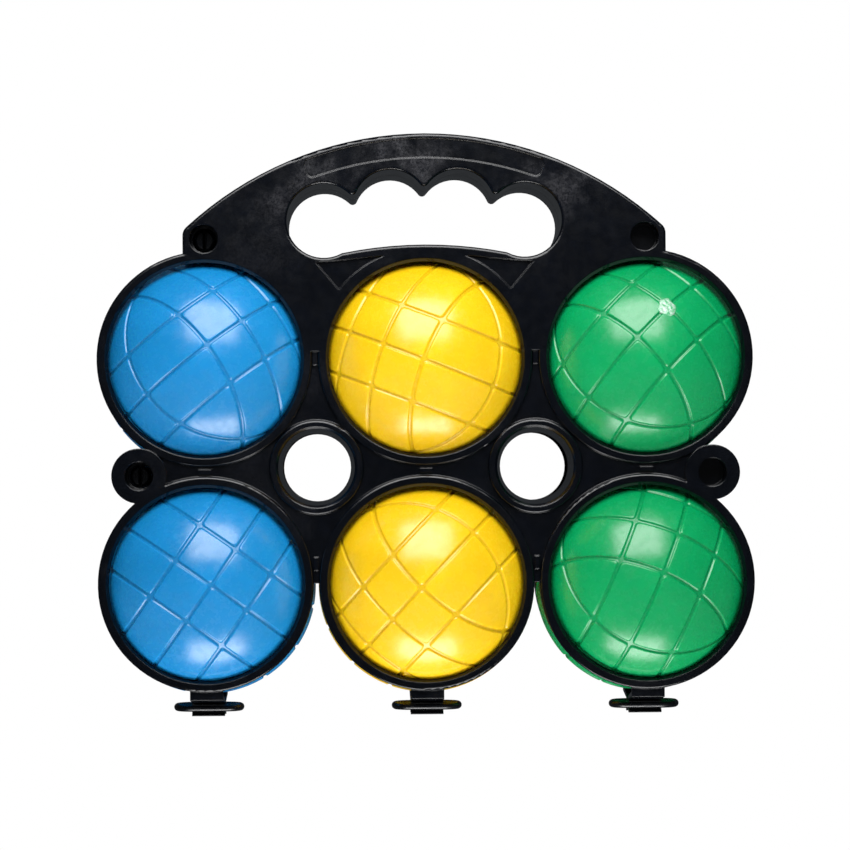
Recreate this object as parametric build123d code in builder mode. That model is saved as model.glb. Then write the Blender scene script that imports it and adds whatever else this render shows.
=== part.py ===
"""Garden bocce set: six grooved balls held in a hinged carrier of two identical plastic frames.

Millimetres, +Z up, front towards -Y. The set stands on its hinge hooks at Z = 0.
"""
import os
from math import cos
from math import radians
from math import sin
from math import sqrt

from build123d import *

# Balls
BALL_R = 37.5
BALL_GAP_X = 1.0
BALL_GAP_Z = 2.5
BALL_SAG = 1.1
SEAT_PLAY = 1.4
SHELL_T = 2.5
GROOVE_W = 1.3
GROOVE_D = 0.8
GROOVE_STEP = 14.9
PLUG_R = 4.0
PLUG_SET = 0.2
FIT = 0.02
RUN = 0.3

# Carrier frames
HALF_DEPTH = 21.5
PARTING = 0.15
SKIN_T = 2.4
WALL_T = 2.0
WEB_T = 2.0
WEB_SET = 1.6
RING_INSET = 0.45
RING_DEPTH = 7.0
LIP_DROP = 1.23
LEAD_IN = 1.1
BEAD_R = 0.9
EDGE_R = 1.0

# Handle
ARCH_RISE = 39.9
SHOULDER = 7.3
SHOULDER_RISE = 6.77
SHOULDER_FOOT = 1.6
CORNER_R = 4.0
FINGER_R = 12.8
FINGER_PITCH = 23.1
FINGER_RISE = (9.9, 14.6)
SILL_END = -2.7
SILL_MID = 1.5
KNUCKLE_R = 1.6
LABEL_TOP = 1.8
LABEL_LOW = 8.4
LABEL_ANGLE = 20.6
LABEL_D = 0.4
POCKET_D = 1.2
RIB_T = 1.4

# Jack seats
JACK_SHIFT = 0.3
JACK_RISE = 1.25
JACK_FRONT_R = 13.2
JACK_BACK_R = 11.8
JACK_BEAD_R = 16.3
JACK_REACH = 9.3
JACK_WALL = 1.4

# Snap posts
POST_X = 22.7
POST_RISE = 3.9
POST_HOLE_R = 4.9
BOSS_R = 6.2
EAR_R = 9.5
EAR_DROP = 1.35
EAR_BACK = 13.8
LEDGE_IN = 11.0
LEDGE_OUT = 12.2
LEDGE_HOLE_R = 4.15
PIN_R = 3.2
BARB_R = 3.55
PIN_END = 13.6
PIN_SLOT = 1.2
PIN_SPLIT = 3.0

# Hinge
ROD_R = 1.4
ROD_Y = 5.5
ROD_GAP = 0.25
HOOK_T = 1.3
HOOK_SPREAD = 0.7
HOOK_LIP = 250
LINK_L = 24.5
STRAP_SET = 1.9
STRAP_T = 1.7
STRAP_KNEE = 3.35
STRAP_LAP = 1.05
RING_CLEAR = 9.15

# Waist ribs between neighbouring rings
WAIST_W = 1.6
WAIST_H = 4.5

PITCH = 2 * BALL_R + BALL_GAP_X
ROW_PITCH = 2 * BALL_R + BALL_GAP_Z
RING_R = BALL_R - RING_INSET
SEAT_R = BALL_R + SEAT_PLAY
LIP_Y = HALF_DEPTH - LIP_DROP
LIP_R = sqrt(SEAT_R**2 - LIP_Y**2)
LEAD_SLOPE = LEAD_IN / LIP_DROP
LOW_Z = RING_CLEAR + RING_R
TOP_Z = LOW_Z + ROW_PITCH
MID_Z = (LOW_Z + TOP_Z) / 2
CROWN_Z = TOP_Z + BALL_R
JACK_X = PITCH / 2 - JACK_SHIFT
JACK_Z = MID_Z + JACK_RISE
EAR_X = PITCH + POST_X
EAR_Z = MID_Z - EAR_DROP
BOSS_Z = CROWN_Z + POST_RISE
HOOK_R = ROD_R + ROD_GAP
HOOK_OUT = HOOK_R + HOOK_T
ROD_Z = HOOK_OUT
HOOK_W = LINK_L - 2 * (ROD_R + ROD_Y) + HOOK_SPREAD
STRAP_Y = HALF_DEPTH - STRAP_SET
SIDE_X = PITCH + SHOULDER
ARCH_SAG = ARCH_RISE - SHOULDER_RISE
ARCH_R = (SIDE_X**2 + ARCH_SAG**2) / (2 * ARCH_SAG)
ARCH_TOP = CROWN_Z + ARCH_RISE
ARCH_Z = ARCH_TOP - ARCH_R
FOOT_Z = CROWN_Z - SHOULDER_FOOT
FLUSH_Z = TOP_Z + 2.4
WEB_FRONT = HALF_DEPTH - WEB_SET
WEB_BACK = WEB_FRONT - WEB_T
COLUMNS = (-PITCH, 0.0, PITCH)
SEATS = [(x, z) for z in (LOW_Z, TOP_Z) for x in COLUMNS]
END_FINGER = 1.5 * FINGER_PITCH
FINGERS = [
    (-END_FINGER, CROWN_Z + FINGER_RISE[0]),
    (-FINGER_PITCH / 2, CROWN_Z + FINGER_RISE[1]),
    (FINGER_PITCH / 2, CROWN_Z + FINGER_RISE[1]),
    (END_FINGER, CROWN_Z + FINGER_RISE[0]),
]

# How each ball happens to lie: column, row, and turns about its own X, Y and Z axes in degrees
BALLS = {
    "ball_blue_top": (-PITCH, TOP_Z, (67, 21, 130)),
    "ball_yellow_top": (0, TOP_Z, (81, -23, 67)),
    "ball_green_top": (PITCH, TOP_Z, (-118, -10, 43)),
    "ball_blue_bottom": (-PITCH, LOW_Z, (88, 4, 55)),
    "ball_yellow_bottom": (0, LOW_Z, (108, -19, -40)),
    "ball_green_bottom": (PITCH, LOW_Z, (61, 15, -19)),
}


def on_front(depth):
    """Plane parallel to the front face, at a distance in front of the parting plane."""
    return Plane.XZ.offset(depth)


def level(x, z):
    """Horizontal plane through a round feature, for a section to revolve."""
    return Plane(origin=(x, 0, z), x_dir=(1, 0, 0), z_dir=(0, 0, 1))


def depth_axis(x, z):
    """Axis of a round feature, from front to back."""
    return Axis((x, 0, z), (0, 1, 0))


def arch_point(radius, x):
    """Point on a circle about the centre of the handle arch."""
    return (x, ARCH_Z + sqrt(radius**2 - x**2))


def arch_turn(radius, angle):
    """Point on the same circle at an angle from the top."""
    return (radius * sin(radians(angle)), ARCH_Z + radius * cos(radians(angle)))


def rod_turn(radius, angle):
    """Point about the front hinge rod, in the side view."""
    return (radius * cos(radians(angle)) - ROD_Y, ROD_Z + radius * sin(radians(angle)))


def crown_face(inset, foot):
    """Handle part of a frame: arched top, upright shoulders, flat foot."""
    radius = ARCH_R - inset
    side = SIDE_X - inset
    with BuildSketch() as face:
        with BuildLine():
            ThreePointArc(arch_point(radius, -side), (0, ARCH_Z + radius), arch_point(radius, side))
            Polyline(arch_point(radius, side), (side, foot), (-side, foot), arch_point(radius, -side))
        make_face()
        corners = [spot for spot in face.vertices() if spot.Y > foot + WALL_T]
        fillet(corners, CORNER_R - inset)
    return face.sketch


def grip_face(grow):
    """Finger opening: four round finger seats over an arched sill, with rounded knuckles."""
    sill = CROWN_Z + SILL_END
    with BuildSketch() as face:
        with Locations(*FINGERS):
            Circle(FINGER_R)
        with BuildLine():
            ThreePointArc((-END_FINGER, sill), (0, CROWN_Z + SILL_MID), (END_FINGER, sill))
            Polyline((END_FINGER, sill), FINGERS[3], FINGERS[2], FINGERS[1], FINGERS[0], (-END_FINGER, sill))
        make_face()
        offset(amount=KNUCKLE_R, kind=Kind.ARC)
        offset(amount=grow - KNUCKLE_R, kind=Kind.ARC)
    return face.sketch


# Cutter for the grooves of one family, three levels round the ball
with BuildPart() as groove_cutter:
    with BuildSketch(Plane.XZ):
        for height in (-GROOVE_STEP, 0, GROOVE_STEP):
            with Locations((BALL_R, height)):
                Rectangle(BALL_R, GROOVE_W)
        Circle(BALL_R - GROOVE_D, mode=Mode.SUBTRACT)
    revolve(axis=Axis.Z)

# Hollow ball, filling hole at the lower pole of its own frame
with BuildPart() as shell_master:
    Sphere(BALL_R)
    for turn in ((0, 0, 0), (90, 0, 0), (0, 90, 0)):
        add(groove_cutter.part, rotation=turn, mode=Mode.SUBTRACT)
    Sphere(BALL_R - SHELL_T, mode=Mode.SUBTRACT)
    with Locations((0, 0, -BALL_R)):
        Cylinder(PLUG_R, BALL_R / 2, mode=Mode.SUBTRACT)

# Plug that seals the filling hole
with BuildPart() as plug_master:
    Sphere(BALL_R - PLUG_SET)
    with Locations((0, 0, SHELL_T - BALL_R)):
        Cylinder(PLUG_R - FIT, BALL_R, align=(Align.CENTER, Align.CENTER, Align.MAX), mode=Mode.INTERSECT)

# Water that weights the ball
with BuildPart() as fill_master:
    Sphere(BALL_R - SHELL_T - FIT)

# Outer block of the handle, its front edge rounded along the arch and down the shoulders
with BuildPart() as handle_block:
    with BuildSketch(on_front(PARTING)):
        add(crown_face(0, FOOT_Z))
    extrude(amount=HALF_DEPTH - PARTING)
    rims = handle_block.faces().sort_by(Axis.Y)[0].edges().sort_by(Axis.Z)
    fillet(rims[1:], EDGE_R)

# Front frame, sockets on the left and split pins on the right
with BuildPart() as front_frame:
    # Ring plates with a rounded front edge
    for x, z in SEATS:
        with BuildSketch(level(x, z)):
            with BuildLine():
                Line((0, -HALF_DEPTH), (RING_R - BEAD_R, -HALF_DEPTH))
                RadiusArc((RING_R - BEAD_R, -HALF_DEPTH), (RING_R, BEAD_R - HALF_DEPTH), -BEAD_R)
                Line((RING_R, BEAD_R - HALF_DEPTH), (RING_R, RING_DEPTH - HALF_DEPTH))
                Line((RING_R, RING_DEPTH - HALF_DEPTH), (0, RING_DEPTH - HALF_DEPTH))
                Line((0, RING_DEPTH - HALF_DEPTH), (0, -HALF_DEPTH))
            make_face()
        revolve(axis=depth_axis(x, z))
    # Recessed web between the rings and out to the ears
    with BuildSketch(on_front(WEB_BACK)):
        with Locations((0, (LOW_Z + FLUSH_Z) / 2)):
            Rectangle(2 * PITCH, FLUSH_Z - LOW_Z)
        for side in (-1, 1):
            with BuildLine():
                Polyline((side * EAR_X, EAR_Z), (side * PITCH, LOW_Z), (side * PITCH, TOP_Z), close=True)
            make_face()
    extrude(amount=WEB_T)
    # Flush face plate between the upper rings
    with BuildSketch(on_front(HALF_DEPTH - SKIN_T)):
        with Locations((0, (FLUSH_Z + FOOT_Z + WALL_T) / 2)):
            Rectangle(2 * PITCH, FOOT_Z + WALL_T - FLUSH_Z)
    extrude(amount=SKIN_T)
    # Ball seats: a lead-in cone at the front, a spherical seat behind the lip
    for x, z in SEATS:
        with BuildSketch(level(x, z)):
            mouth = LIP_R + LEAD_SLOPE * (HALF_DEPTH + WALL_T - LIP_Y)
            with BuildLine():
                Polyline(
                    (0, -HALF_DEPTH - WALL_T),
                    (mouth, -HALF_DEPTH - WALL_T),
                    (LIP_R - LEAD_IN, LIP_DROP - LIP_Y),
                    (0, LIP_DROP - LIP_Y),
                    close=True,
                )
            make_face()
        revolve(axis=depth_axis(x, z), mode=Mode.SUBTRACT)
        with Locations((x, 0, z)):
            Sphere(SEAT_R, mode=Mode.SUBTRACT)
    # Handle, a hollow box open at its foot, with ribs inside
    add(handle_block.part)
    with BuildSketch(on_front(-WALL_T)):
        add(crown_face(WALL_T, FOOT_Z - WALL_T))
        with Locations(*[(x * FINGER_PITCH, ARCH_TOP) for x in (-2.4, -1, 0, 1, 2.4)]):
            Rectangle(RIB_T, 2 * (ARCH_TOP - FOOT_Z + 2 * WALL_T), mode=Mode.SUBTRACT)
    extrude(amount=HALF_DEPTH - SKIN_T + WALL_T, mode=Mode.SUBTRACT)
    # Wall round the finger opening, clear of the balls, and the opening itself
    with BuildSketch(on_front(PARTING)):
        add(grip_face(WALL_T))
    extrude(amount=HALF_DEPTH - PARTING - SKIN_T / 2)
    with Locations(*[(x, 0, z - BALL_SAG) for x, z in SEATS]):
        Sphere(BALL_R + RUN, mode=Mode.SUBTRACT)
    with BuildSketch(on_front(-WALL_T)):
        add(grip_face(0))
    extrude(amount=HALF_DEPTH + 2 * WALL_T, mode=Mode.SUBTRACT)
    grip_rim = front_frame.edges(Select.LAST).filter_by_position(Axis.Y, -HALF_DEPTH, -HALF_DEPTH)
    fillet(grip_rim, EDGE_R)
    # Label recess along the arch
    with BuildSketch(on_front(HALF_DEPTH - LABEL_D)) as label:
        low = ARCH_R - LABEL_LOW
        high = ARCH_R - LABEL_TOP
        with BuildLine():
            ThreePointArc(arch_turn(low, -LABEL_ANGLE), arch_turn(low, 0), arch_turn(low, LABEL_ANGLE))
            Line(arch_turn(low, LABEL_ANGLE), arch_turn(high, LABEL_ANGLE))
            ThreePointArc(arch_turn(high, LABEL_ANGLE), arch_turn(high, 0), arch_turn(high, -LABEL_ANGLE))
            Line(arch_turn(high, -LABEL_ANGLE), arch_turn(low, -LABEL_ANGLE))
        make_face()
        fillet(label.vertices(), CORNER_R / 2)
    extrude(amount=2 * LABEL_D, mode=Mode.SUBTRACT)
    # Three-cornered pockets beside the middle upper ring
    with BuildSketch(on_front(HALF_DEPTH - POCKET_D)):
        for side in (-1, 1):
            with BuildLine():
                Polyline(
                    (side * BALL_R, TOP_Z + 0.88 * BALL_R),
                    (side * BALL_R * 0.34, TOP_Z + 0.94 * BALL_R),
                    (side * BALL_R * 0.7, TOP_Z + 0.5 * BALL_R),
                    (side * BALL_R * 0.8, TOP_Z + 0.64 * BALL_R),
                    close=True,
                )
            make_face()
        with Locations((0, TOP_Z)):
            Circle(RING_R + 0.8, mode=Mode.SUBTRACT)
    extrude(amount=2 * POCKET_D, mode=Mode.SUBTRACT)
    # Jack ball seats, tubes with a beaded rim that taper towards the parting plane
    for x in (-JACK_X, JACK_X):
        with BuildSketch(level(x, JACK_Z)):
            with BuildLine():
                Line((0, -HALF_DEPTH), (JACK_BEAD_R - BEAD_R, -HALF_DEPTH))
                RadiusArc((JACK_BEAD_R - BEAD_R, -HALF_DEPTH), (JACK_BEAD_R, BEAD_R - HALF_DEPTH), -BEAD_R)
                Polyline(
                    (JACK_BEAD_R, BEAD_R - HALF_DEPTH),
                    (JACK_BEAD_R, -WEB_BACK),
                    (JACK_BEAD_R - JACK_WALL, -WEB_BACK),
                    (JACK_BACK_R + JACK_WALL, -JACK_REACH),
                    (0, -JACK_REACH),
                    (0, -HALF_DEPTH),
                )
            make_face()
        revolve(axis=depth_axis(x, JACK_Z))
        with BuildSketch(level(x, JACK_Z)):
            with BuildLine():
                Polyline(
                    (0, -HALF_DEPTH - BEAD_R),
                    (JACK_FRONT_R + 2 * BEAD_R, -HALF_DEPTH - BEAD_R),
                    (JACK_FRONT_R, BEAD_R - HALF_DEPTH),
                    (JACK_BACK_R, -JACK_REACH),
                    (JACK_BACK_R, BEAD_R - JACK_REACH),
                    (0, BEAD_R - JACK_REACH),
                    close=True,
                )
            make_face()
        revolve(axis=depth_axis(x, JACK_Z), mode=Mode.SUBTRACT)
    # Small ribs across the waists between rings
    with BuildSketch(on_front(WEB_BACK)):
        with Locations(*[(x, z) for x in (-PITCH / 2, PITCH / 2) for z in (TOP_Z, LOW_Z + 1.5 * WAIST_H)]):
            Rectangle(WAIST_W, WAIST_H)
        with Locations(*[(x, MID_Z) for x in COLUMNS]):
            Rectangle(WAIST_H, WAIST_W)
    extrude(amount=HALF_DEPTH - WEB_BACK - SKIN_T / 4)
    # Bosses at the shoulders and ears at the waist
    for spot in ((PITCH, BOSS_Z), (EAR_X, EAR_Z)):
        with BuildSketch(on_front(LEDGE_IN)):
            with Locations(spot, (-spot[0], spot[1])):
                Circle(BOSS_R)
        extrude(amount=HALF_DEPTH - LEDGE_IN)
    with BuildSketch(on_front(EAR_BACK)):
        with Locations((-EAR_X, EAR_Z), (EAR_X, EAR_Z)):
            Circle(EAR_R)
    extrude(amount=HALF_DEPTH - EAR_BACK)
    for x, z in ((PITCH, BOSS_Z), (EAR_X, EAR_Z)):
        with BuildSketch(on_front(LEDGE_OUT)):
            with Locations((-x, z), (x, z)):
                Circle(POST_HOLE_R)
        extrude(amount=HALF_DEPTH, mode=Mode.SUBTRACT)
        with BuildSketch(on_front(LEDGE_IN - WALL_T)):
            with Locations((-x, z)):
                Circle(LEDGE_HOLE_R)
        extrude(amount=HALF_DEPTH, mode=Mode.SUBTRACT)
        # Pin with a split, barbed tip that reaches through the ledge of the other frame
        with BuildSketch(level(x, z)):
            with BuildLine():
                Polyline(
                    (0, -LEDGE_OUT),
                    (PIN_R, -LEDGE_OUT),
                    (PIN_R, PIN_END - 4 * (BARB_R - PIN_R)),
                    (BARB_R, PIN_END - 3 * (BARB_R - PIN_R)),
                    (BARB_R, PIN_END - 2 * (BARB_R - PIN_R)),
                    (2 * PIN_R - BARB_R, PIN_END),
                    (0, PIN_END),
                    close=True,
                )
            make_face()
        revolve(axis=depth_axis(x, z))
        with BuildSketch(on_front(-PIN_END - WALL_T)):
            with Locations((x, z)):
                Rectangle(PIN_SLOT, 3 * BARB_R)
        extrude(amount=PIN_END + WALL_T - PIN_SPLIT, mode=Mode.SUBTRACT)
    # Straps that bend in under the balls and hook round the front rods of the links
    for x in COLUMNS:
        with BuildSketch(Plane.YZ.offset(x - HOOK_W / 2)):
            with Locations((-ROD_Y, ROD_Z)):
                Circle(HOOK_OUT)
            with BuildLine():
                Polyline(
                    (-ROD_Y, ROD_Z),
                    rod_turn(2 * HOOK_OUT, 100),
                    rod_turn(3 * HOOK_OUT, 150),
                    rod_turn(3 * HOOK_OUT, 210),
                    rod_turn(2 * HOOK_OUT, HOOK_LIP),
                    close=True,
                )
            make_face(mode=Mode.SUBTRACT)
            with BuildLine():
                Polyline(
                    (-STRAP_Y, RING_CLEAR + STRAP_LAP),
                    (-STRAP_Y, ROD_Z + STRAP_KNEE),
                    (-ROD_Y, ROD_Z + HOOK_R),
                    (-ROD_Y, ROD_Z + HOOK_OUT),
                    (STRAP_T - STRAP_Y, ROD_Z + STRAP_KNEE + STRAP_T),
                    (STRAP_T - STRAP_Y, RING_CLEAR + STRAP_LAP),
                    close=True,
                )
            make_face()
            with Locations((-ROD_Y, ROD_Z)):
                Circle(HOOK_R, mode=Mode.SUBTRACT)
        extrude(amount=HOOK_W)

# Back frame, the same moulding turned round
with BuildPart() as back_frame:
    add(front_frame.part, rotation=(0, 0, 180))

# Hinge links, closed wire rings
links = {}
for name, x in zip(("hinge_link_left", "hinge_link_centre", "hinge_link_right"), COLUMNS):
    straight = LINK_L / 2 - ROD_R - ROD_Y
    with BuildPart() as link:
        with BuildLine(Plane.XY.offset(ROD_Z)):
            Line((x - straight, -ROD_Y), (x + straight, -ROD_Y))
            ThreePointArc((x + straight, -ROD_Y), (x + straight + ROD_Y, 0), (x + straight, ROD_Y))
            Line((x + straight, ROD_Y), (x - straight, ROD_Y))
            ThreePointArc((x - straight, ROD_Y), (x - straight - ROD_Y, 0), (x - straight, -ROD_Y))
        with BuildSketch(Plane(origin=(x, -ROD_Y, ROD_Z), z_dir=(1, 0, 0))):
            Circle(ROD_R)
        sweep()
    links[name] = link.part

os.makedirs("parts", exist_ok=True)
front_frame.part.label = "front_frame"
export_step(front_frame.part, "parts/front_frame.step")
back_frame.part.label = "back_frame"
export_step(back_frame.part, "parts/back_frame.step")
for name, solid in links.items():
    solid.label = name
    export_step(solid, f"parts/{name}.step")
for name, (x, z, turns) in BALLS.items():
    place = Location((x, 0, z - BALL_SAG), turns)
    for master, node in ((shell_master, name), (plug_master, f"{name}_plug"), (fill_master, f"{name}_fill")):
        solid = master.part.moved(place)
        solid.label = node
        export_step(solid, f"parts/{node}.step")
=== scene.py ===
"""Looks of a garden bocce set: grooved balls, glue spots, hinged carrier, hinge links and a small studio.

Metres, +Z up, front towards -Y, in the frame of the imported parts.
"""

import math

import bmesh
import bpy
import numpy as np
from bpy.props import FloatProperty
from bpy.props import FloatVectorProperty
from bpy.props import IntProperty
from bpy.props import PointerProperty
from mathutils import Matrix
from mathutils import Vector


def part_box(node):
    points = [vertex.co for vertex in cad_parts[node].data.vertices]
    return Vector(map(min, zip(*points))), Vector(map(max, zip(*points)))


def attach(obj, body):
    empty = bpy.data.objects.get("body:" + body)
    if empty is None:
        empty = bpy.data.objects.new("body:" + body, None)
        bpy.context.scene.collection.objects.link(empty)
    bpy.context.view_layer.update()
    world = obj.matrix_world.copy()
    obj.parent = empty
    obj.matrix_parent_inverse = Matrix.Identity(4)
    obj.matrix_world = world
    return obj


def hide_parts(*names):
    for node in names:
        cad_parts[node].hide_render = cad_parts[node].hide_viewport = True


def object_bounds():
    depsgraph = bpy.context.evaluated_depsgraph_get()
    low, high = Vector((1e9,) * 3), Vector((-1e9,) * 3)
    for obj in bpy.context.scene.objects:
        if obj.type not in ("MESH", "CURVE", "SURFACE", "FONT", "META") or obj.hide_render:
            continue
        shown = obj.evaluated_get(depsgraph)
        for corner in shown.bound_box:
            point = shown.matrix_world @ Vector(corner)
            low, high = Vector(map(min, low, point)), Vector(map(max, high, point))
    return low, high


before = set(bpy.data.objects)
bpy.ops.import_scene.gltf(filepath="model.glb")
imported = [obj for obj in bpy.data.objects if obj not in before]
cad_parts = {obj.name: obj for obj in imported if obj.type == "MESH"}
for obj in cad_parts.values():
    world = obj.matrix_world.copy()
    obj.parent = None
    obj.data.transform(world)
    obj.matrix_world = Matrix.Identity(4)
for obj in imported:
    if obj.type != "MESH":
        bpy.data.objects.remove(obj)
CAD_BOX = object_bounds()

bl_info = {
    "name": "Bocce Set",
    "version": (1, 0, 0),
    "blender": (4, 5, 0),
    "location": "3D View > Sidebar > Bocce",
    "description": "Builds a garden bocce set in its hinged carrier, with a small studio",
    "category": "Object",
}

MM = 0.001
FRAMES = ("front_frame", "back_frame")
LINKS = ("hinge_link_left", "hinge_link_centre", "hinge_link_right")
COLOURS = ("blue", "yellow", "green")

# How each ball lies in its seat: turns about its own X, Y and Z axes in degrees
BALL_TURNS = {
    "ball_blue_top": (67, 21, 130),
    "ball_yellow_top": (81, -23, 67),
    "ball_green_top": (-118, -10, 43),
    "ball_blue_bottom": (88, 4, 55),
    "ball_yellow_bottom": (108, -19, -40),
    "ball_green_bottom": (61, 15, -19),
}

# Grid lines across one groove, as shares of its half width, measured from its middle line
GROOVE_LINES = (0, 0.4, 0.62, 0.8, 1.0, 1.22, 1.5, 2.0, 2.6)
PAD_STEPS = 9
RIM_STEPS = 7
RIM_ROUNDS = 60

# Shape of a groove, as shares of its half width
CROSSING_BLEND = 1.6
GROOVE_LIP = 1.15
GROOVE_WALL = 0.75

# Glue puddle: grid, lobes round its outline, dents in its top (shares of its spread) and heights
GLUE_RINGS = 26
GLUE_SECTORS = 72
LOBES = 6
FIRST_LOBE = 2
LOBE_SHARE = 0.28
DENTS = 9
DENT_REACH = 0.7
DENT_WIDTH = 0.22
DENT_DEPTH = 0.16 * MM
GLUE_RISE = 0.34 * MM
GLUE_RIM = 0.12 * MM
GLUE_ROOT = 1.1 * MM

# Studio: floor, and each softbox's width and height with its distances from the set's box
FLOOR_SIDES = 96
FLOOR_RADIUS = 12
UPPER_SIZE = (0.50, 0.42)
UPPER_AHEAD = 0.34
UPPER_ABOVE = 0.30
LOWER_SIZE = (0.42, 0.22)
LOWER_AHEAD = 0.12
LOWER_BELOW = 0.42
REAR_SIZE = (0.60, 0.42)
REAR_BEHIND = 0.45
REAR_ABOVE = 0.34
SENSOR_WIDTH = 36
CLIP_NEAR = 0.01
CLIP_FAR = 100


def centre_of(node):
    """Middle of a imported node's box."""
    low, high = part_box(node)
    return (low + high) / 2


def radius_of(ball):
    """Half the width of a ball's box."""
    low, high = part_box(ball)
    return (high.x - low.x) / 2


def colour_of(node):
    """Colour word in a ball's name."""
    return node.split("_")[1]


def add_mesh(name, points, faces):
    """Smooth mesh object from points and faces, linked to the scene, with doubled points merged."""
    mesh = bpy.data.meshes.new(name)
    mesh.from_pydata([tuple(p) for p in points], [], faces)
    build = bmesh.new()
    build.from_mesh(mesh)
    bmesh.ops.remove_doubles(build, verts=build.verts, dist=1e-6)
    bmesh.ops.recalc_face_normals(build, faces=build.faces)
    build.to_mesh(mesh)
    build.free()
    mesh.shade_smooth()
    obj = bpy.data.objects.new(name, mesh)
    bpy.context.scene.collection.objects.link(obj)
    return obj


# ---------------------------------------------------------------- ball shape


def pad_lines(step, half_width):
    """Levels along one axis of a ball face that follow its three grooves, from the middle outwards."""
    near = [share * half_width for share in GROOVE_LINES]
    reach = near[-1]
    middle = np.linspace(reach, step - reach, PAD_STEPS + 2)[1:-1]
    beside = [step - d for d in near[:0:-1]] + [step + d for d in near]
    positive = list(near[1:]) + list(middle) + beside
    return np.array([-v for v in reversed(positive)] + [0.0] + positive)


def face_grid(radius, step, half_width):
    """Points of one cube face blown up to a sphere: two families of lines run along the grooves."""
    inner = pad_lines(step, half_width)
    edge = inner[-1]
    shares = np.linspace(0, 1, RIM_STEPS + 1)[1:]
    line = np.concatenate([-edge * np.ones(RIM_STEPS), inner, edge * np.ones(RIM_STEPS)])
    share = np.concatenate([-shares[::-1], np.zeros(len(inner)), shares])
    x_base, y_base = np.meshgrid(line, line, indexing="ij")
    x_share, y_share = np.meshgrid(share, share, indexing="ij")
    x, y = x_base.copy(), y_base.copy()
    for _ in range(RIM_ROUNDS):
        x_edge = np.sqrt((radius**2 - y**2) / 2)
        y_edge = np.sqrt((radius**2 - x**2) / 2)
        x = x_base + x_share * (x_edge - edge)
        y = y_base + y_share * (y_edge - edge)
    z = np.sqrt(radius**2 - x**2 - y**2)
    return np.stack([x, y, z], axis=-1)


def groove_share(points, step, half_width):
    """How deep each point lies in the grooves, from 0 on a pad to 1 on a groove floor."""
    to_line = np.min([abs(abs(points) - step), abs(points)], axis=0)
    along = np.sort(to_line, axis=1)
    blend = half_width * CROSSING_BLEND
    near, second = along[:, 0], along[:, 1]
    closeness = np.clip(blend - (second - near), 0, None) / blend
    distance = near - closeness**2 * blend / 4
    t = np.clip((GROOVE_LIP * half_width - distance) / (GROOVE_WALL * half_width), 0, 1)
    return t * t * (3 - 2 * t)


def ball_mesh(name, radius, sizes):
    """Closed grooved ball about its own centre, with the groove share kept as a point attribute."""
    half_width = sizes.groove_width / 2
    grid = face_grid(radius, sizes.groove_step, half_width)
    rows, cols = grid.shape[:2]
    flat = grid.reshape(-1, 3)
    turns = [
        Matrix.Identity(3),
        Matrix.Rotation(math.pi, 3, "X"),
        Matrix.Rotation(math.pi / 2, 3, "X"),
        Matrix.Rotation(-math.pi / 2, 3, "X"),
        Matrix.Rotation(math.pi / 2, 3, "Y"),
        Matrix.Rotation(-math.pi / 2, 3, "Y"),
    ]
    points, faces = [], []
    for turn in turns:
        start = len(points) * len(flat)
        points.append(flat @ np.array(turn).T)
        for i in range(rows - 1):
            for j in range(cols - 1):
                corner = start + i * cols + j
                faces.append((corner, corner + cols, corner + cols + 1, corner + 1))
    ball = add_mesh(name, np.concatenate(points), faces)
    count = len(ball.data.vertices)
    spots = np.empty(count * 3)
    ball.data.vertices.foreach_get("co", spots)
    spots = spots.reshape(-1, 3)
    share = groove_share(spots, sizes.groove_step, half_width)
    sunk = spots * (1 - share * sizes.groove_depth / radius)[:, None]
    ball.data.vertices.foreach_set("co", sunk.ravel())
    depth = ball.data.attributes.new("groove", "FLOAT", "POINT")
    depth.data.foreach_set("value", share)
    return ball


def lay_in_seat(piece, node):
    """Turns a piece's mesh as its ball is turned, and stands the piece at the ball's centre."""
    turns = [math.radians(a) for a in BALL_TURNS[node]]
    turned = Matrix.Rotation(turns[0], 4, "X")
    turned = turned @ Matrix.Rotation(turns[1], 4, "Y")
    turned = turned @ Matrix.Rotation(turns[2], 4, "Z")
    piece.data.transform(turned)
    piece.matrix_world = Matrix.Translation(centre_of(node))


# ---------------------------------------------------------------- glue spots


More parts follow.
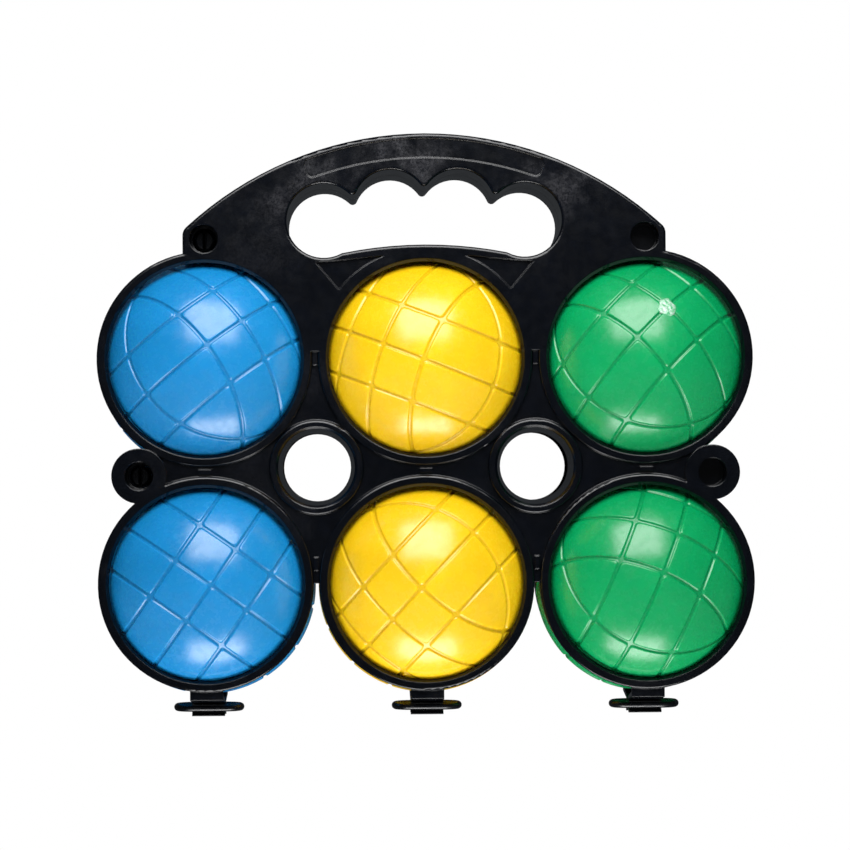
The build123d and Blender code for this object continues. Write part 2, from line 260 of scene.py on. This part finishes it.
def glue_mesh(name, radius, spread, seed):
    """Puddle of set glue over the filling hole: a lobed dome with pits, closed under the ball's skin."""
    draw = np.random.default_rng(seed)
    lobes = draw.uniform(-1, 1, (LOBES, 2))
    dents = draw.uniform(-DENT_REACH, DENT_REACH, (DENTS, 2)) * spread
    rings, sectors = GLUE_RINGS, GLUE_SECTORS
    points = []
    for side in ("top", "bottom"):
        for i in range(rings + 1):
            for j in range(sectors):
                angle = 2 * math.pi * j / sectors
                wobble = sum(
                    (a * math.cos(k * angle) + b * math.sin(k * angle)) / (k + 1)
                    for k, (a, b) in enumerate(lobes, start=FIRST_LOBE)
                )
                reach = spread * (1 + LOBE_SHARE * wobble)
                out = reach * i / rings
                x, y = out * math.cos(angle), out * math.sin(angle)
                rise = GLUE_RISE * math.sqrt(max(0.0, 1 - (i / rings) ** 2))
                for dx, dy in dents:
                    gap = math.hypot(x - dx, y - dy) / (DENT_WIDTH * spread)
                    rise -= DENT_DEPTH * math.exp(-gap * gap) * (1 - (i / rings) ** 4)
                shell = radius + rise if side == "top" else radius - GLUE_ROOT
                rim = GLUE_RIM * (i / rings) ** 8
                shell -= rim if side == "top" else -rim
                down = math.sqrt(max(0.0, shell**2 - x**2 - y**2))
                points.append((x, y, -down))
    faces = []
    layer = (rings + 1) * sectors
    for base in (0, layer):
        for i in range(rings):
            for j in range(sectors):
                a = base + i * sectors + j
                b = base + i * sectors + (j + 1) % sectors
                faces.append((a, b, b + sectors, a + sectors))
    edge = rings * sectors
    for j in range(sectors):
        a = edge + j
        b = edge + (j + 1) % sectors
        faces.append((a, b, layer + b, layer + a))
    return add_mesh(name, points, faces)


# ---------------------------------------------------------------- materials


class Finish:
    """One material's node tree, with short ways to add the nodes that the finishes share."""

    def __init__(self, name):
        self.material = bpy.data.materials.new(name)
        self.material.use_nodes = True
        self.tree = self.material.node_tree
        self.shader = self.tree.nodes["Principled BSDF"]
        self.place = self.tree.nodes.new("ShaderNodeTexCoord").outputs["Object"]

    def node(self, kind, **inputs):
        """A node with some of its inputs set or linked."""
        made = self.tree.nodes.new(kind)
        for key, value in inputs.items():
            self.put(made.inputs[key.replace("_", " ")], value)
        return made

    def put(self, socket, value):
        """Sets a socket's value, or links it when given another node's output."""
        if isinstance(value, bpy.types.NodeSocket):
            self.tree.links.new(value, socket)
        else:
            socket.default_value = value

    def noise(self, scale, detail=3.0, rough=0.5, distortion=0.0):
        """Grey noise over the piece; scale is in bumps per metre."""
        spots = self.node("ShaderNodeTexNoise", Scale=scale, Detail=detail, Roughness=rough)
        spots.inputs["Distortion"].default_value = distortion
        self.put(spots.inputs["Vector"], self.place)
        return spots.outputs["Fac"]

    def ramp(self, value, low, high, to_low=0.0, to_high=1.0):
        """Value stretched from low..high onto to_low..to_high with soft ends."""
        span = self.tree.nodes.new("ShaderNodeMapRange")
        span.interpolation_type = "SMOOTHSTEP"
        self.put(span.inputs["Value"], value)
        for key, number in (("From Min", low), ("From Max", high), ("To Min", to_low), ("To Max", to_high)):
            span.inputs[key].default_value = number
        return span.outputs["Result"]

    def maths(self, work, a, b=0.0):
        """One sum on two values."""
        step = self.tree.nodes.new("ShaderNodeMath")
        step.operation = work
        self.put(step.inputs[0], a)
        self.put(step.inputs[1], b)
        return step.outputs["Value"]

    def mix(self, share, a, b):
        """Colour a turned into colour b by a share."""
        blend = self.tree.nodes.new("ShaderNodeMix")
        blend.data_type = "RGBA"
        self.put(blend.inputs["Factor"], share)
        self.put(blend.inputs["A"], a)
        self.put(blend.inputs["B"], b)
        return blend.outputs["Result"]

    def bump(self, height, strength, distance, normal=None):
        """Small relief from a height value; distance is its full height in metres."""
        relief = self.node("ShaderNodeBump", Strength=strength, Distance=distance, Height=height)
        if normal is not None:
            self.put(relief.inputs["Normal"], normal)
        return relief.outputs["Normal"]


def rgba(colour):
    """Colour with full opacity."""
    return (*colour, 1.0)


def shade(colour, factor):
    """Colour made darker or lighter by a factor."""
    return tuple(min(1.0, c * factor) for c in colour)


def ball_plastic(name, colour, sizes):
    """Blow-moulded plastic: even colour, grooves darkened with painted shade, faint waviness and a soft
    gloss.
    """
    finish = Finish(name)
    cloud = finish.ramp(finish.noise(45, 4, 0.6), 0.35, 0.7)
    body = finish.mix(cloud, rgba(shade(colour, 0.93)), rgba(shade(colour, 1.05)))
    groove = finish.node("ShaderNodeAttribute")
    groove.attribute_name = "groove"
    # Painted shade: the colour darkens with groove depth, standing in for the shade that falls in the
    # grooves
    depth = finish.ramp(groove.outputs["Fac"], 0.25, 1.0, 0.0, 0.30)
    finish.put(finish.shader.inputs["Base Color"], finish.mix(depth, body, rgba(shade(colour, 0.55))))
    rub = finish.ramp(finish.noise(420, 5, 0.65), 0.35, 0.75, sizes.roughness - 0.04, sizes.roughness + 0.09)
    finish.put(finish.shader.inputs["Roughness"], rub)
    waves = finish.bump(finish.noise(85, 2, 0.5), 0.25, 0.25 * MM)
    grain = finish.bump(finish.noise(2600, 3, 0.6), 0.12, 0.05 * MM, waves)
    finish.put(finish.shader.inputs["Normal"], grain)
    finish.shader.inputs["Subsurface Weight"].default_value = 0.3
    finish.shader.inputs["Subsurface Radius"].default_value = (1.0, 0.5, 0.25)
    finish.shader.inputs["Subsurface Scale"].default_value = 4 * MM
    finish.shader.inputs["Specular IOR Level"].default_value = 0.5
    return finish.material


def set_glue(name, colour):
    """Glue over a filling hole: paler than the ball, glassy and pitted."""
    finish = Finish(name)
    milky = finish.ramp(finish.noise(900, 5, 0.7, 0.6), 0.35, 0.65)
    pale = tuple(0.45 * c + 0.4 for c in colour)
    finish.put(finish.shader.inputs["Base Color"], finish.mix(milky, rgba(shade(colour, 1.1)), rgba(pale)))
    finish.put(finish.shader.inputs["Roughness"], finish.ramp(finish.noise(1500, 3), 0.3, 0.7, 0.08, 0.3))
    finish.put(finish.shader.inputs["Normal"], finish.bump(finish.noise(1300, 4, 0.7), 0.6, 0.25 * MM))
    finish.shader.inputs["Coat Weight"].default_value = 0.5
    finish.shader.inputs["Coat Roughness"].default_value = 0.06
    return finish.material


def carrier_plastic(name, sizes, crown_z):
    """Black moulded plastic: satin, with pale clouds on the flat faces, most of all on the handle; the
    clouds are partly rubbed wear and partly painted sheen.
    """
    finish = Finish(name)
    geometry = finish.tree.nodes.new("ShaderNodeNewGeometry")
    across = finish.tree.nodes.new("ShaderNodeSeparateXYZ")
    finish.put(across.inputs["Vector"], geometry.outputs["Normal"])
    facing = finish.ramp(finish.maths("ABSOLUTE", across.outputs["Y"]), 0.9, 0.99)
    spot = finish.tree.nodes.new("ShaderNodeSeparateXYZ")
    finish.put(spot.inputs["Vector"], finish.place)
    high = finish.ramp(spot.outputs["Z"], crown_z, crown_z + 28 * MM, 0.12, 1.0)
    clouds = finish.ramp(finish.noise(34, 5, 0.6, 0.3), 0.48, 0.70)
    speckle = finish.ramp(finish.noise(900, 8, 0.8, 0.5), 0.38, 0.62, 0.1, 1.0)
    # Pale clouds on the front and back faces, stronger towards the top: partly rubbed wear, partly painted
    # sheen
    wear_and_sheen = finish.maths("MULTIPLY", finish.maths("MULTIPLY", clouds, speckle), facing)
    wear_and_sheen = finish.maths("MULTIPLY", wear_and_sheen, high)
    fine = finish.ramp(finish.noise(160, 5, 0.6), 0.3, 0.75)
    base = finish.mix(fine, rgba(shade(sizes.colour, 0.8)), rgba(shade(sizes.colour, 1.35)))
    finish.put(finish.shader.inputs["Base Color"], finish.mix(wear_and_sheen, base, rgba(sizes.wear_and_sheen)))
    rough = finish.ramp(finish.noise(240, 4, 0.6), 0.3, 0.7, sizes.roughness - 0.03, sizes.roughness + 0.03)
    rough = finish.maths("ADD", rough, finish.maths("MULTIPLY", wear_and_sheen, 0.06))
    finish.put(finish.shader.inputs["Roughness"], rough)
    soft = finish.node("ShaderNodeBevel", Radius=sizes.edge_radius)
    soft.samples = 6
    waves = finish.bump(finish.noise(60, 2), 0.2, 0.25 * MM, soft.outputs["Normal"])
    grain = finish.bump(finish.noise(2200, 4, 0.6), 0.15, 0.06 * MM, waves)
    finish.put(finish.shader.inputs["Normal"], grain)
    finish.shader.inputs["Specular IOR Level"].default_value = 0.42
    return finish.material


def link_plastic(name, sizes):
    """Black moulded rod: a little glossier than the carrier, with drawn-out streaks along it."""
    finish = Finish(name)
    streaks = finish.ramp(finish.noise(300, 5, 0.65, 0.8), 0.35, 0.7)
    colour = finish.mix(streaks, rgba(shade(sizes.colour, 0.8)), rgba(shade(sizes.colour, 1.9)))
    finish.put(finish.shader.inputs["Base Color"], colour)
    finish.put(finish.shader.inputs["Roughness"], finish.ramp(streaks, 0, 1, 0.24, 0.4))
    finish.put(finish.shader.inputs["Normal"], finish.bump(finish.noise(1500, 4), 0.2, 0.06 * MM))
    return finish.material


def dress(obj, material):
    """Gives an object one material."""
    obj.data.materials.clear()
    obj.data.materials.append(material)


# ---------------------------------------------------------------- settings


class BallSettings(bpy.types.PropertyGroup):
    """Sizes and colours of the balls."""

    blue: FloatVectorProperty(
        name="Blue", description="Plastic of the blue balls", subtype="COLOR", size=3, min=0, max=1,
        default=(0.006, 0.178, 0.420),
    )
    yellow: FloatVectorProperty(
        name="Yellow", description="Plastic of the yellow balls", subtype="COLOR", size=3, min=0, max=1,
        default=(0.680, 0.425, 0.005),
    )
    green: FloatVectorProperty(
        name="Green", description="Plastic of the green balls", subtype="COLOR", size=3, min=0, max=1,
        default=(0.001, 0.250, 0.075),
    )
    roughness: FloatProperty(
        name="Roughness", description="How dull the ball plastic is", subtype="FACTOR", min=0.1, max=1,
        default=0.26,
    )
    groove_width: FloatProperty(
        name="Groove width", description="Width across a groove", unit="LENGTH", min=0.0005, max=0.004,
        default=1.5 * MM,
    )
    groove_depth: FloatProperty(
        name="Groove depth", description="Depth of a groove", unit="LENGTH", min=0.0001, max=0.002,
        default=0.55 * MM,
    )
    groove_step: FloatProperty(
        name="Groove step", description="Distance between the levels of neighbouring grooves", unit="LENGTH",
        min=0.01, max=0.02, default=14.9 * MM,
    )


class GlueSettings(bpy.types.PropertyGroup):
    """Size and shape of the glue over the filling holes."""

    spread: FloatProperty(
        name="Spread", description="Mean radius of a puddle", unit="LENGTH", min=0.002, max=0.006,
        default=3.3 * MM,
    )
    seed: IntProperty(name="Seed", description="Changes the outlines of the puddles", min=0, default=5)


class CarrierSettings(bpy.types.PropertyGroup):
    """Finish of the carrier and its links."""

    colour: FloatVectorProperty(
        name="Plastic", description="Black plastic of the carrier", subtype="COLOR", size=3, min=0, max=1,
        default=(0.0008, 0.0012, 0.0024),
    )
    # Pale grey of the clouds on the carrier's flat faces: partly rubbed wear, partly painted sheen
    wear_and_sheen: FloatVectorProperty(
        name="Rubbed", description="Plastic where it is rubbed pale", subtype="COLOR", size=3, min=0, max=1,
        default=(0.034, 0.034, 0.038),
    )
    roughness: FloatProperty(
        name="Roughness", description="How dull the plastic is", subtype="FACTOR", min=0.1, max=1,
        default=0.18,
    )
    edge_radius: FloatProperty(
        name="Edge radius", description="Softness of the moulded edges", unit="LENGTH", min=0, max=0.002,
        default=0.6 * MM,
    )


class StudioSettings(bpy.types.PropertyGroup):
    """Lights and camera."""

    upper_power: FloatProperty(
        name="Upper light", description="Power of the softbox above", unit="POWER", min=0, default=6.2,
    )
    lower_power: FloatProperty(
        name="Lower light", description="Power of the softbox below", unit="POWER", min=0, default=3.0,
    )
    rear_power: FloatProperty(
        name="Rear light", description="Power of the softbox behind", unit="POWER", min=0, default=6.0,
    )
    room: FloatProperty(
        name="Room", description="Brightness of the dim room round the set", min=0, max=2, default=0.06,
    )
    lens: FloatProperty(
        name="Lens", description="Focal length in millimetres", min=20, max=300, default=141.6,
    )
    distance: FloatProperty(
        name="Distance", description="Camera to the front face", unit="LENGTH", min=0.2, max=5, default=1.15,
    )
    turn: FloatProperty(
        name="Turn", description="Camera turned to the right", subtype="ANGLE", default=math.radians(1.07),
    )
    tilt: FloatProperty(
        name="Tilt", description="Camera tilted up", subtype="ANGLE", default=math.radians(1.07),
    )
    roll: FloatProperty(
        name="Roll", description="Camera rolled clockwise", subtype="ANGLE", default=math.radians(0.43),
    )
    aim_x: FloatProperty(
        name="Aim across", description="How far left of the middle of the view the set's middle lies",
        unit="LENGTH", default=-0.4 * MM,
    )
    aim_z: FloatProperty(
        name="Aim down", description="How far under the middle of the view the waist lies", unit="LENGTH",
        default=16.6 * MM,
    )


# ---------------------------------------------------------------- operators for the set


class BOCCE_OT_balls(bpy.types.Operator):
    """Build the grooved balls and turn each one as it lies in its seat"""

    bl_idname = "bocce.balls"
    bl_label = "Grooved Balls"

    def execute(self, context):
        sizes = context.scene.bocce_balls
        for colour in COLOURS:
            plastic = ball_plastic(f"{colour}_ball_plastic", tuple(getattr(sizes, colour)), sizes)
            for row in ("top", "bottom"):
                node = f"ball_{colour}_{row}"
                ball = ball_mesh(f"grooved_{node}", radius_of(node), sizes)
                lay_in_seat(ball, node)
                dress(ball, plastic)
                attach(ball, node)
                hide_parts(node, f"{node}_fill")
        return {"FINISHED"}


class BOCCE_OT_glue(bpy.types.Operator):
    """Add the glue spots over the filling holes of the balls"""

    bl_idname = "bocce.glue"
    bl_label = "Glue Spots"

    def execute(self, context):
        sizes = context.scene.bocce_balls
        glue = context.scene.bocce_glue
        pastes = {c: set_glue(f"{c}_glue", tuple(getattr(sizes, c))) for c in COLOURS}
        for number, node in enumerate(BALL_TURNS):
            radius = radius_of(node)
            spot = glue_mesh(f"glue_{node}", radius, glue.spread, glue.seed + number)
            lay_in_seat(spot, node)
            for corner in spot.data.vertices:
                corner.co.y = max(-radius, min(radius, corner.co.y))
            dress(spot, pastes[colour_of(node)])
            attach(spot, node)
            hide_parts(f"{node}_plug")
        return {"FINISHED"}


class BOCCE_OT_carrier(bpy.types.Operator):
    """Finish the two carrier frames in satin black plastic with pale clouds, partly rubbed wear and partly
    painted sheen
    """

    bl_idname = "bocce.carrier"
    bl_label = "Carrier Frames"

    def execute(self, context):
        top = max(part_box(node)[1].z for node in BALL_TURNS)
        plastic = carrier_plastic("carrier_plastic", context.scene.bocce_carrier, top)
        for node in FRAMES:
            dress(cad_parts[node], plastic)
        return {"FINISHED"}


class BOCCE_OT_links(bpy.types.Operator):
    """Finish the three hinge links"""

    bl_idname = "bocce.links"
    bl_label = "Hinge Links"

    def execute(self, context):
        plastic = link_plastic("link_plastic", context.scene.bocce_carrier)
        for node in LINKS:
            dress(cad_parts[node], plastic)
        return {"FINISHED"}


# ---------------------------------------------------------------- studio


def floor_finish():
    """Plain white floor, matt and faintly mottled."""
    finish = Finish("studio_floor")
    mottle = finish.mix(finish.noise(8), (0.89, 0.89, 0.89, 1), (0.91, 0.91, 0.91, 1))
    finish.put(finish.shader.inputs["Base Color"], mottle)
    finish.shader.inputs["Roughness"].default_value = 0.9
    return finish.material


def add_softbox(name, power, size, spot, target):
    """Rectangular softbox at a spot, facing a target; size is its width and height."""
    lamp = bpy.data.lights.new(name, "AREA")
    lamp.shape = "RECTANGLE"
    lamp.size, lamp.size_y = size
    lamp.energy = power
    box = bpy.data.objects.new(name, lamp)
    box.location = spot
    box.rotation_euler = (Vector(target) - Vector(spot)).to_track_quat("-Z", "Y").to_euler()
    bpy.context.scene.collection.objects.link(box)
    return box


def studio_world(brightness):
    """World that lights the set as a dim room and shows the camera a white backdrop."""
    world = bpy.data.worlds.new("studio_room")
    world.use_nodes = True
    tree = world.node_tree
    room = tree.nodes["Background"]
    room.inputs["Color"].default_value = (0.85, 0.92, 1.0, 1)
    room.inputs["Strength"].default_value = brightness
    backdrop = tree.nodes.new("ShaderNodeBackground")
    backdrop.inputs["Color"].default_value = (1, 1, 1, 1)
    ray = tree.nodes.new("ShaderNodeLightPath")
    either = tree.nodes.new("ShaderNodeMixShader")
    tree.links.new(ray.outputs["Is Camera Ray"], either.inputs["Fac"])
    tree.links.new(room.outputs["Background"], either.inputs[1])
    tree.links.new(backdrop.outputs["Background"], either.inputs[2])
    tree.links.new(either.outputs["Shader"], tree.nodes["World Output"].inputs["Surface"])
    return world


def add_camera(studio):
    """Camera before the front frame, aimed near the waist between the two rows of balls."""
    frame_low, frame_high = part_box("front_frame")
    waist = (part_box("ball_blue_top")[0].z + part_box("ball_blue_bottom")[1].z) / 2
    aim = Vector(((frame_low.x + frame_high.x) / 2, frame_low.y, waist))
    lens = bpy.data.cameras.new("camera")
    lens.lens = studio.lens
    lens.sensor_width = SENSOR_WIDTH
    lens.clip_start, lens.clip_end = CLIP_NEAR, CLIP_FAR
    camera = bpy.data.objects.new("camera", lens)
    turned = Matrix.Rotation(-studio.turn, 3, "Z")
    turned = turned @ Matrix.Rotation(math.pi / 2 + studio.tilt, 3, "X")
    turned = turned @ Matrix.Rotation(-studio.roll, 3, "Z")
    right, up, back = turned.col
    camera.location = aim + right * studio.aim_x + up * studio.aim_z + back * studio.distance
    camera.rotation_euler = turned.to_euler()
    bpy.context.scene.collection.objects.link(camera)
    return camera


class BOCCE_OT_studio(bpy.types.Operator):
    """Set up the floor, backdrop, softboxes and camera"""

    bl_idname = "bocce.studio"
    bl_label = "Studio"

    def execute(self, context):
        studio = context.scene.bocce_studio
        low, high = CAD_BOX
        middle = Vector(((low.x + high.x) / 2, (low.y + high.y) / 2, (low.z + high.z) / 2))

        bpy.ops.mesh.primitive_circle_add(
            vertices=FLOOR_SIDES, radius=FLOOR_RADIUS, fill_type="NGON", location=(0, 0, low.z),
        )
        floor = context.object
        floor.name = "studio_floor"
        dress(floor, floor_finish())
        floor.visible_camera = False
        floor.visible_shadow = False
        floor.visible_glossy = False

        add_softbox(
            "upper_softbox", studio.upper_power, UPPER_SIZE,
            (middle.x, low.y - UPPER_AHEAD, high.z + UPPER_ABOVE), middle,
        )
        add_softbox(
            "lower_softbox", studio.lower_power, LOWER_SIZE,
            (middle.x, low.y - LOWER_AHEAD, low.z - LOWER_BELOW), middle,
        )
        rear = add_softbox(
            "rear_softbox", studio.rear_power, REAR_SIZE,
            (middle.x, high.y + REAR_BEHIND, high.z + REAR_ABOVE), middle,
        )
        rear.visible_glossy = False

        context.scene.world = studio_world(studio.room)
        context.scene.view_settings.view_transform = "Standard"
        context.scene.camera = add_camera(studio)
        return {"FINISHED"}


class BOCCE_PT_panel(bpy.types.Panel):
    """Sizes, colours and steps of the bocce set"""

    bl_idname = "BOCCE_PT_panel"
    bl_label = "Bocce Set"
    bl_space_type = "VIEW_3D"
    bl_region_type = "UI"
    bl_category = "Bocce"

    def draw(self, context):
        layout = self.layout
        for step, name in STEPS:
            box = layout.box()
            box.operator(step)
            if name is not None:
                group = getattr(context.scene, name)
                for key in group.__annotations__:
                    box.prop(group, key)


# Each step with the settings shown under it; the links share the carrier's
STEPS = (
    ("bocce.balls", "bocce_balls"),
    ("bocce.glue", "bocce_glue"),
    ("bocce.carrier", "bocce_carrier"),
    ("bocce.links", None),
    ("bocce.studio", "bocce_studio"),
)

GROUPS = {
    "bocce_balls": BallSettings,
    "bocce_glue": GlueSettings,
    "bocce_carrier": CarrierSettings,
    "bocce_studio": StudioSettings,
}

CLASSES = (
    *GROUPS.values(),
    BOCCE_OT_balls,
    BOCCE_OT_glue,
    BOCCE_OT_carrier,
    BOCCE_OT_links,
    BOCCE_OT_studio,
    BOCCE_PT_panel,
)


def register():
    """Adds the classes and their settings."""
    for cls in CLASSES:
        bpy.utils.register_class(cls)
    for name, group in GROUPS.items():
        setattr(bpy.types.Scene, name, PointerProperty(type=group))


def unregister():
    """Takes the classes and their settings away."""
    for name in GROUPS:
        delattr(bpy.types.Scene, name)
    for cls in reversed(CLASSES):
        bpy.utils.unregister_class(cls)


def main():
    """Builds the whole set."""
    register()
    bpy.ops.bocce.balls()
    bpy.ops.bocce.glue()
    bpy.ops.bocce.carrier()
    bpy.ops.bocce.links()
    bpy.ops.bocce.studio()


if __name__ == "__main__":
    main()
